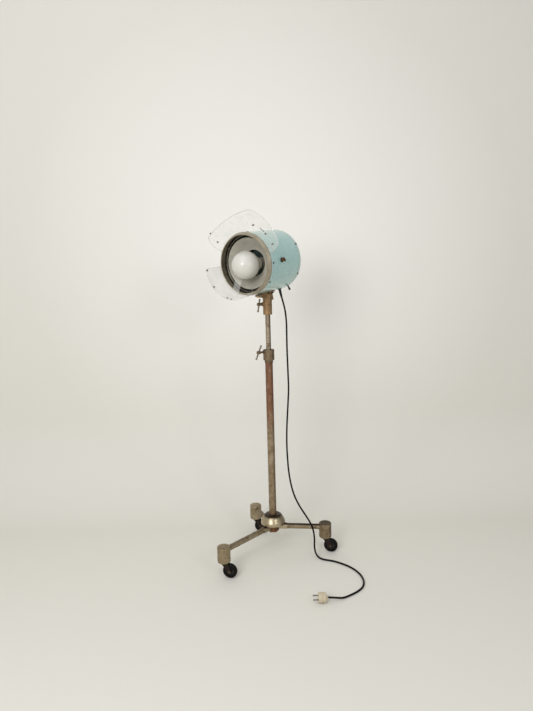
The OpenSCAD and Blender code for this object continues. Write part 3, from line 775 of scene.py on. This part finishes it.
def make_hub():
    """The turned dome with its rim, and a round lobe about each leg."""
    at = Matrix.Translation(COLUMN)
    parts = [lathe("dome", rounded_ring(HUB_PROFILE, 0.0012), at, 128)]
    for reach, turn in LEGS.values():
        slope = math.atan(LEG_DROP / reach)
        along = (at @ Matrix.Translation((0, 0, LEG_Z)) @ Matrix.Rotation(math.radians(turn), 4, "Z")
                 @ Matrix.Rotation(math.pi / 2 + slope, 4, "Y"))
        parts.append(lathe("lobe", rounded_ring(LOBE_PROFILE, 0.001), along, 48))
    return join("hub_casting", parts)


stand_in(make_hub(), HUB, "stand", "worn_nickel", "base_hub")
stand_in(soften(copy_of("base_nut", "hub_nut"), 0.0012), COPPER, "stand", "copper_brown", "base_nut")

for place, (reach, turn) in LEGS.items():
    fork = copy_of(f"caster_fork_{place}", f"fork_{place}")
    stand_in(soften(fork, 0.0006), FORK_METAL, f"caster_{place}", "brown_steel", f"caster_fork_{place}")
    # The right cap and leg take the copies with heavier painted shade
    dress(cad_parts[f"cap_{place}"], CAP_SHADED if place == "right" else NICKEL)
    dress(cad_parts[f"leg_{place}"], LEG_SHADED if place == "right" else LEG_METAL)
    dress(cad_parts[f"caster_axle_{place}"], SCREW_METAL)
    dress(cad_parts[f"wheel_core_{place}"], BLACK)
    dress(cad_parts[f"tyre_{place}"], TYRE)


# ---- head ----

stand_in(cast_copy("head_bracket", "bracket_casting", 0.0015, 3), BRONZE, "head", "bronze_cast",
         "head_bracket")
stand_in(soften(copy_of("switch_key", "switch_wing"), 0.0008), COPPER, "switch_key", "copper_brown",
         "switch_key")


# ---- upper shield ----

SHIELD_INNER = DRUM_R - 0.003
SHIELD_FOLD = DRUM_R + 0.002
SHIELD_RISE = 0.27
SHIELD_TURNS = (18, 155)
# The two arcs of its outline: centre across, centre up, radius
SHIELD_TOP_ARC = (0.073, -0.148, 0.340)
SHIELD_SIDE_ARC = (-0.027, 0.008, 0.200)
# The rounded corners at its two ends: how far they reach, and the degrees that they take
RIGHT_CORNER = (0.062, 7)
LEFT_CORNER = (0.072, 9)
RIM_STEPS = 160
LOWER_START = 184.5  # where the lower shield's rim starts, in degrees round the lamp axis


def soft_least(a, b, blend):
    return min(a, b) - max(blend - abs(a - b), 0) ** 2 / (4 * blend)


def circle_reach(turn, x, y, radius):
    """How far a circle's edge is from the lamp axis in one direction."""
    along = x * math.cos(turn) + y * math.sin(turn)
    return along + math.sqrt(along * along - x * x - y * y + radius * radius)


def shield_reach(degrees):
    """Outer radius of the upper shield: two large arcs, with rounded corners at both ends."""
    turn = math.radians(degrees)
    start, end = SHIELD_TURNS
    reach = soft_least(circle_reach(turn, *SHIELD_TOP_ARC), circle_reach(turn, *SHIELD_SIDE_ARC), 0.003)
    left = SHIELD_FOLD + LEFT_CORNER[0] * math.sqrt(max(end - degrees, 0) / LEFT_CORNER[1])
    right = SHIELD_FOLD + RIGHT_CORNER[0] * math.sqrt(max(degrees - start, 0) / RIGHT_CORNER[1])
    return max(soft_least(soft_least(reach, left, 0.014), right, 0.012), SHIELD_FOLD)


def shield_height(radius):
    return DRUM_FRONT + 0.0002 + max(radius - SHIELD_FOLD, 0) * SHIELD_RISE


def make_upper_shield(columns=140, rows=16):
    """The bent sheet as a closed skin: a polar grid above, one below, and a rim between them."""
    verts = []
    for lift in (0, SHEET):
        for i in range(columns + 1):
            degrees = SHIELD_TURNS[0] + (SHIELD_TURNS[1] - SHIELD_TURNS[0]) * i / columns
            turn = math.radians(degrees)
            reach = shield_reach(degrees)
            for j in range(rows + 1):
                radius = SHIELD_INNER + (reach - SHIELD_INNER) * j / rows
                verts.append((radius * math.cos(turn), radius * math.sin(turn), shield_height(radius) + lift))
    layer = (columns + 1) * (rows + 1)
    faces = []
    for i in range(columns):
        for j in range(rows):
            k = i * (rows + 1) + j
            quad = (k, k + rows + 1, k + rows + 2, k + 1)
            faces.append(quad)
            faces.append(tuple(layer + v for v in reversed(quad)))
    edge = [j for j in range(rows + 1)] + [i * (rows + 1) + rows for i in range(1, columns + 1)]
    edge += [columns * (rows + 1) + j for j in range(rows - 1, -1, -1)]
    edge += [i * (rows + 1) for i in range(columns - 1, 0, -1)]
    skin = len(faces)
    for a, b in zip(edge, edge[1:] + edge[:1]):
        faces.append((a, b, layer + b, layer + a))
    sheet = add_mesh("upper_shield_sheet", verts, faces, LAMP)
    sheet.data.polygons.foreach_set("use_smooth", [i < skin for i in range(len(faces))])
    return sheet


def on_sheet(degrees, radius, lift=0.0):
    """A frame on the upper shield, with Z square to the sheet."""
    turn = Matrix.Rotation(math.radians(degrees), 4, "Z")
    place = Matrix.Translation((radius, 0, shield_height(radius) + SHEET + lift))
    return LAMP @ turn @ place @ Matrix.Rotation(-math.atan(SHIELD_RISE), 4, "Y")


def upper_rim_highlight():
    """The upper shield's cut edge as a fine pale line from one inner corner round to the other: a painted
    highlight along the edge.
    """
    start, end = SHIELD_TURNS
    path = []
    for i in range(RIM_STEPS + 1):
        degrees = start + (end - start) * i / RIM_STEPS
        reach = shield_reach(degrees) - 0.0004
        turn = math.radians(degrees)
        height = shield_height(reach) + SHEET / 2
        path.append(LAMP @ Vector((reach * math.cos(turn), reach * math.sin(turn), height)))
    return sweep("upper_shield_rim_highlight", path, 0.0013, 8)


def lower_rim_highlight():
    """The lower shield's cut edge along its front and up its left end, as a pale line: a painted highlight
    along the edge.
    """
    left_end = -(DRUM_R + 0.0028)
    radius = DRUM_R + 0.0043
    path = [LAMP @ Vector((left_end, -0.006, DRUM_FRONT + 0.002 + 0.0087 * k)) for k in range(10)]
    for k in range(61):
        turn = math.radians(LOWER_START + 2.0 * k)
        path.append(LAMP @ Vector((radius * math.cos(turn), radius * math.sin(turn), DRUM_FRONT + 0.0888)))
    return sweep("lower_shield_rim_highlight", path, 0.0011, 8)


stand_in(make_upper_shield(), SHEET_UPPER, "head", "clear_sheet", "upper_shield")
# Painted highlights along the cut edges of both shields
stand_in(upper_rim_highlight(), SHEET_RIM_HIGHLIGHT, "head", "clear_sheet")
stand_in(lower_rim_highlight(), SHEET_RIM_HIGHLIGHT, "head", "clear_sheet")
slot_mark = block("shield_slot", (0.0012, 0.0105, 0.0003), on_sheet(52, 0.149), 0.0002)
stand_in(slot_mark, BLACK, "head", "black_plastic")
clip = block("shield_clip", (0.0030, 0.0022, 0.0008), on_sheet(139.5, 0.184, 0.0006), 0.0004)
stand_in(clip, SCREW_METAL, "head", "dark_steel")
tongue_turn = Matrix.Rotation(math.radians(245), 4, "Z")
tongue_at = LAMP @ tongue_turn @ Matrix.Translation((0.090, 0, DRUM_FRONT + 0.019))
tongue = block("clear_tongue", (0.028, 0.015, 0.0015), tongue_at, 0.0007)
stand_in(tongue, SHEET_LOWER, "head", "clear_sheet")


# ---- materials of the CAD nodes that stay ----

FINISH = {
    "base_spacer": COPPER, "leg_set_screws": SCREW_METAL,
    "lower_tube": TUBE, "tube_bush": COLLAR, "height_collar": COLLAR,
    "collar_screw": COLLAR, "collar_tommy_bar": ZINC, "upper_tube": SHAFT, "guide_bush": BRASS,
    "bracket_screw": COLLAR, "bracket_tommy_bar": ZINC, "saddle_bolts": SCREW_METAL,
    "drum_shell": ENAMEL, "rear_cover": COVER, "rear_cover_screws": SCREW_METAL, "rear_thumb_screw": BLACK,
    "front_ring": RING_METAL, "ring_screws": SCREW_METAL, "retaining_ring": ZINC, "reflector": REFLECTOR,
    "reflector_posts": ZINC, "lamp_holder": PORCELAIN, "holder_shell": BRASS, "holder_bracket": ZINC,
    "bulb_globe": OPAL, "bulb_cap": ZINC, "terminal_block": PORCELAIN, "inner_wires": CORD,
    "switch_body": BLACK, "upper_shield_rivets": RIVET,
    "lower_shield": SHEET_LOWER, "lower_shield_rivets": RIVET, "cord_gland": BLACK, "plug_pins": ZINC,
}
for node, material in FINISH.items():
    dress(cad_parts[node], material)
